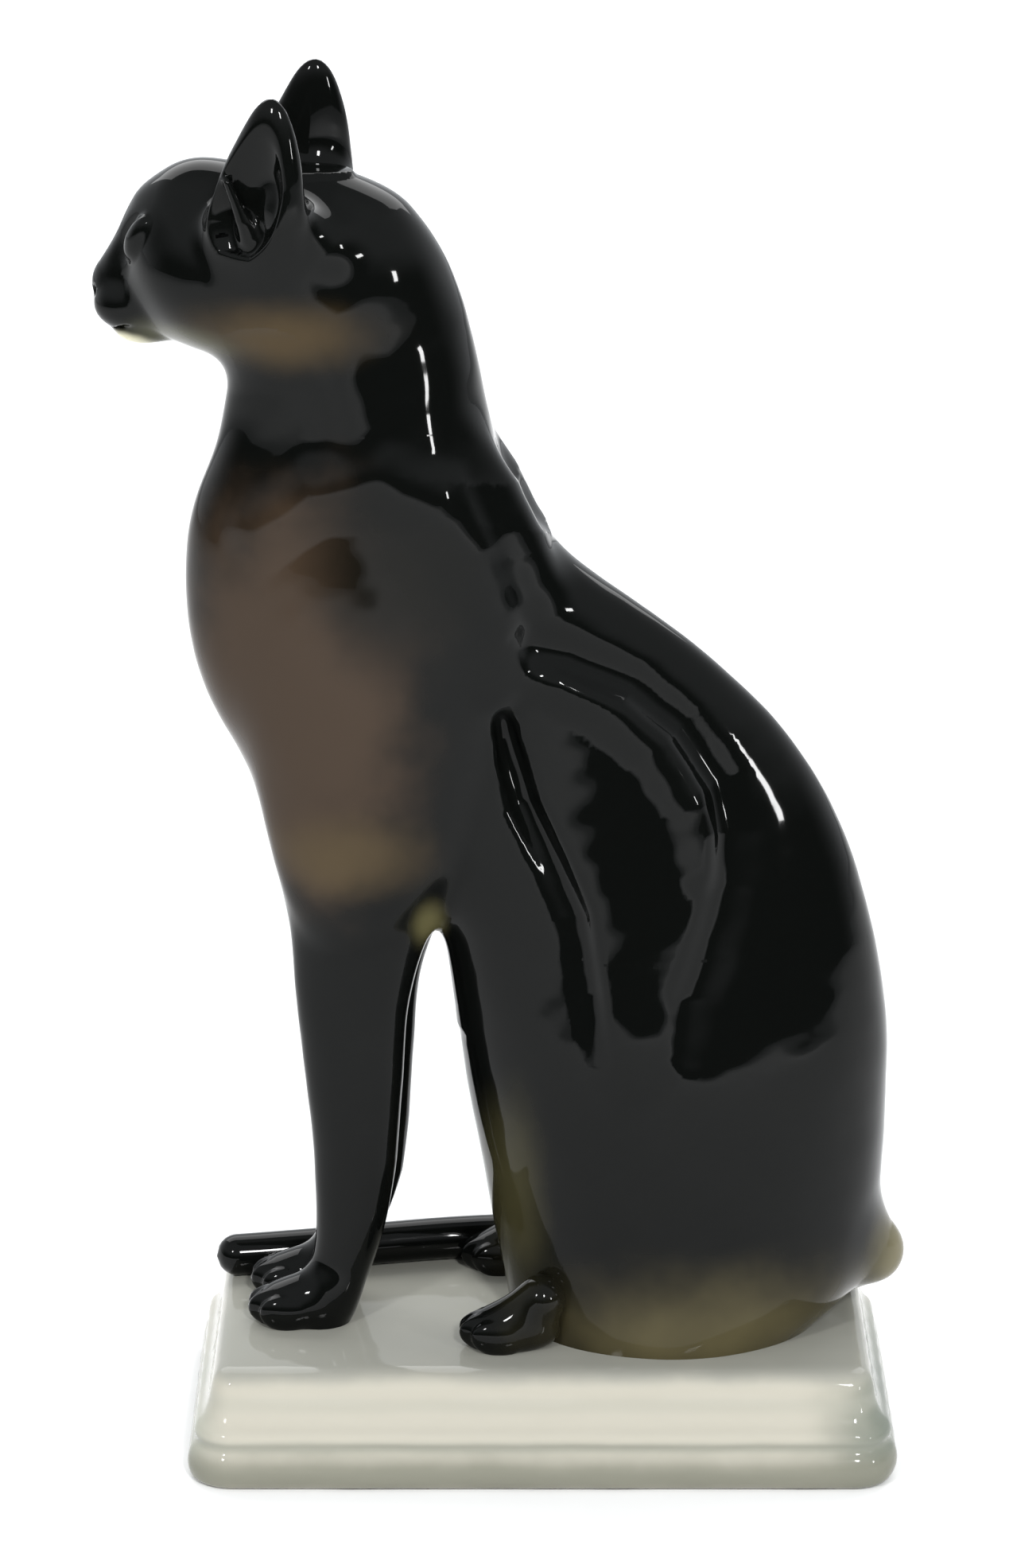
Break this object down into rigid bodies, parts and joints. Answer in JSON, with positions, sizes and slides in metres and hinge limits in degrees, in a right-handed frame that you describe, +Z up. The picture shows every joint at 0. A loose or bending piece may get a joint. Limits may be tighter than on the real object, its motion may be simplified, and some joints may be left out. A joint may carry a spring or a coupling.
{
  "type": "ceramic cat figurine",
  "caption": "Slender glazed cat sitting upright with its head turned, on a moulded rectangular plinth.",
  "frame": {"origin": "centre of the plinth's underside, on the surface it rests on", "axes": "+Z up, the cat faces -X with its rump towards +X, its left side faces -Y and its tail lies on the +Y side"},
  "size_m": [0.1282, 0.06, 0.2193],
  "materials": {
    "black_underglaze": "clear gloss glaze over black-green underglaze",
    "brown_underglaze": "clear gloss glaze over sprayed brown and black underglaze",
    "pale_glaze": "clear gloss glaze over a pale grey-green body tint"
  },
  "bodies": {
    "root": {"plinth": "pale_glaze", "torso": "brown_underglaze", "head": "brown_underglaze", "left_ear": "black_underglaze", "right_ear": "black_underglaze", "left_foreleg": "black_underglaze", "right_foreleg": "black_underglaze", "left_hind_paw": "black_underglaze", "right_hind_paw": "black_underglaze", "tail": "black_underglaze"}
  },
  "joints": []
}
